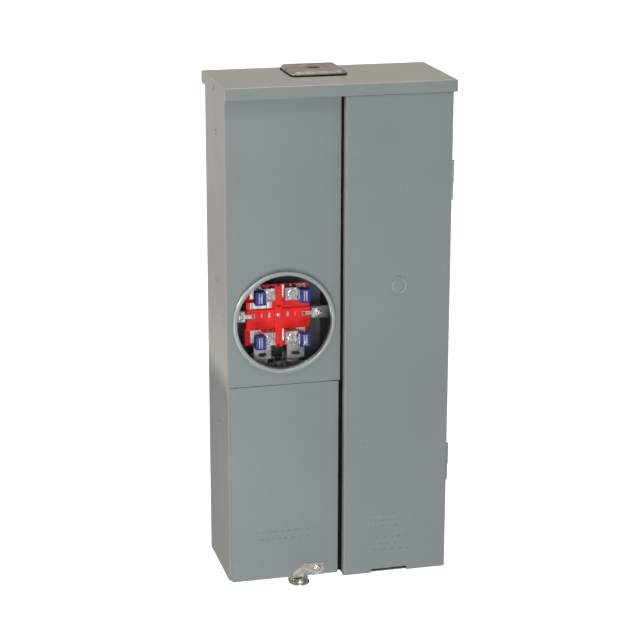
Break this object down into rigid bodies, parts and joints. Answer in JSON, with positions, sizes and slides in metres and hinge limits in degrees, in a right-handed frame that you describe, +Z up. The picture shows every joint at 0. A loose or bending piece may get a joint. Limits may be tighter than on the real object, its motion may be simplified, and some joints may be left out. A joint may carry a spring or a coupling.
{
  "type": "meter socket enclosure with load centre",
  "caption": "Outdoor service-entrance enclosure: ring-type meter socket behind sealed covers beside a main breaker and load centre behind a hinged door.",
  "frame": {"origin": "middle of the four wall-bolt holes, on the back face", "axes": "+Z up, +Y into the wall, so the covers and the door face -Y"},
  "size_m": [0.3954, 0.19, 0.8808],
  "materials": {
    "enclosure_paint": "satin",
    "zinc_plated_steel": "satin",
    "galvanised_steel": "matte",
    "tin_plated_copper": "satin",
    "aluminium": "satin",
    "red_moulding": "satin",
    "blue_moulding": "satin",
    "black_moulding": "satin",
    "black_rubber": "matte",
    "white_label": "matte",
    "hub_plate_metal": "satin",
    "screw_steel": "gloss"
  },
  "bodies": {
    "root": {"enclosure_shell": "enclosure_paint", "bottom_wall": "enclosure_paint", "top_cap": "enclosure_paint", "cap_screws": "enclosure_paint", "side_wall_screws": "enclosure_paint", "side_mounting_channel": "galvanised_steel", "front_headers": "enclosure_paint", "cover_seam_rail": "galvanised_steel", "compartment_divider": "galvanised_steel", "bus_window_bushing": "black_moulding", "door_gasket": "black_rubber", "door_catch": "zinc_plated_steel", "hub_gasket": "black_rubber", "hub_closing_plate": "hub_plate_metal", "hub_clamp_bar": "galvanised_steel", "hub_plate_screw": "screw_steel", "sealing_lug": "zinc_plated_steel", "hinge_box_leaves": "enclosure_paint", "hinge_pins": "screw_steel", "socket_block": "red_moulding", "socket_rivet": "aluminium", "socket_inserts": "zinc_plated_steel", "socket_label": "white_label", "socket_brackets": "galvanised_steel", "socket_tabs": "zinc_plated_steel", "bracket_screws": "screw_steel", "jaw_guides": "blue_moulding", "jaw_clips": "tin_plated_copper", "line_terminal_plates": "tin_plated_copper", "line_lugs": "aluminium", "load_terminal_blocks": "aluminium", "terminal_screws": "screw_steel", "load_bus_bars": "tin_plated_copper", "neutral_lug": "aluminium", "ground_lug": "aluminium", "lug_set_screws": "screw_steel", "neutral_strap": "tin_plated_copper", "interior_pan": "galvanised_steel", "pan_screws": "screw_steel", "bus_insulator": "black_moulding", "hot_bus_bars": "tin_plated_copper", "breaker_rails": "galvanised_steel", "neutral_bars": "aluminium", "ground_bar": "aluminium", "terminal_bar_screws": "screw_steel", "main_breaker_case": "black_moulding", "handle_pivot_pin": "screw_steel", "deadfront": "enclosure_paint", "deadfront_supports": "galvanised_steel", "deadfront_screws": "screw_steel", "filler_plates": "black_moulding"},
    "upper_cover": {"upper_meter_cover": "enclosure_paint"},
    "lower_cover": {"lower_utility_cover": "enclosure_paint", "seal_hasp": "zinc_plated_steel", "hasp_screw": "screw_steel"},
    "door": {"door_panel": "enclosure_paint", "hinge_door_leaves": "enclosure_paint"},
    "handle": {"main_breaker_handle": "black_moulding"}
  },
  "joints": [
    {"name": "door_hinge", "type": "hinge", "parent": "root", "child": "door", "pos_m": [0.1922, -0.1737, 0], "axis": [0, 0, 1], "range_deg": [0, 175]},
    {"name": "lower_cover_tilt", "type": "hinge", "parent": "root", "child": "lower_cover", "pos_m": [-0.092, -0.1613, -0.0804], "axis": [-1, 0, 0], "range_deg": [0, 25]},
    {"name": "upper_cover_slide", "type": "slide", "parent": "root", "child": "upper_cover", "axis": [0, -1, 0], "range_m": [0, 0.15]},
    {"name": "main_breaker_toggle", "type": "hinge", "parent": "root", "child": "handle", "pos_m": [0.1, -0.11, 0.0075], "axis": [1, 0, 0], "range_deg": [0, 36]}
  ]
}
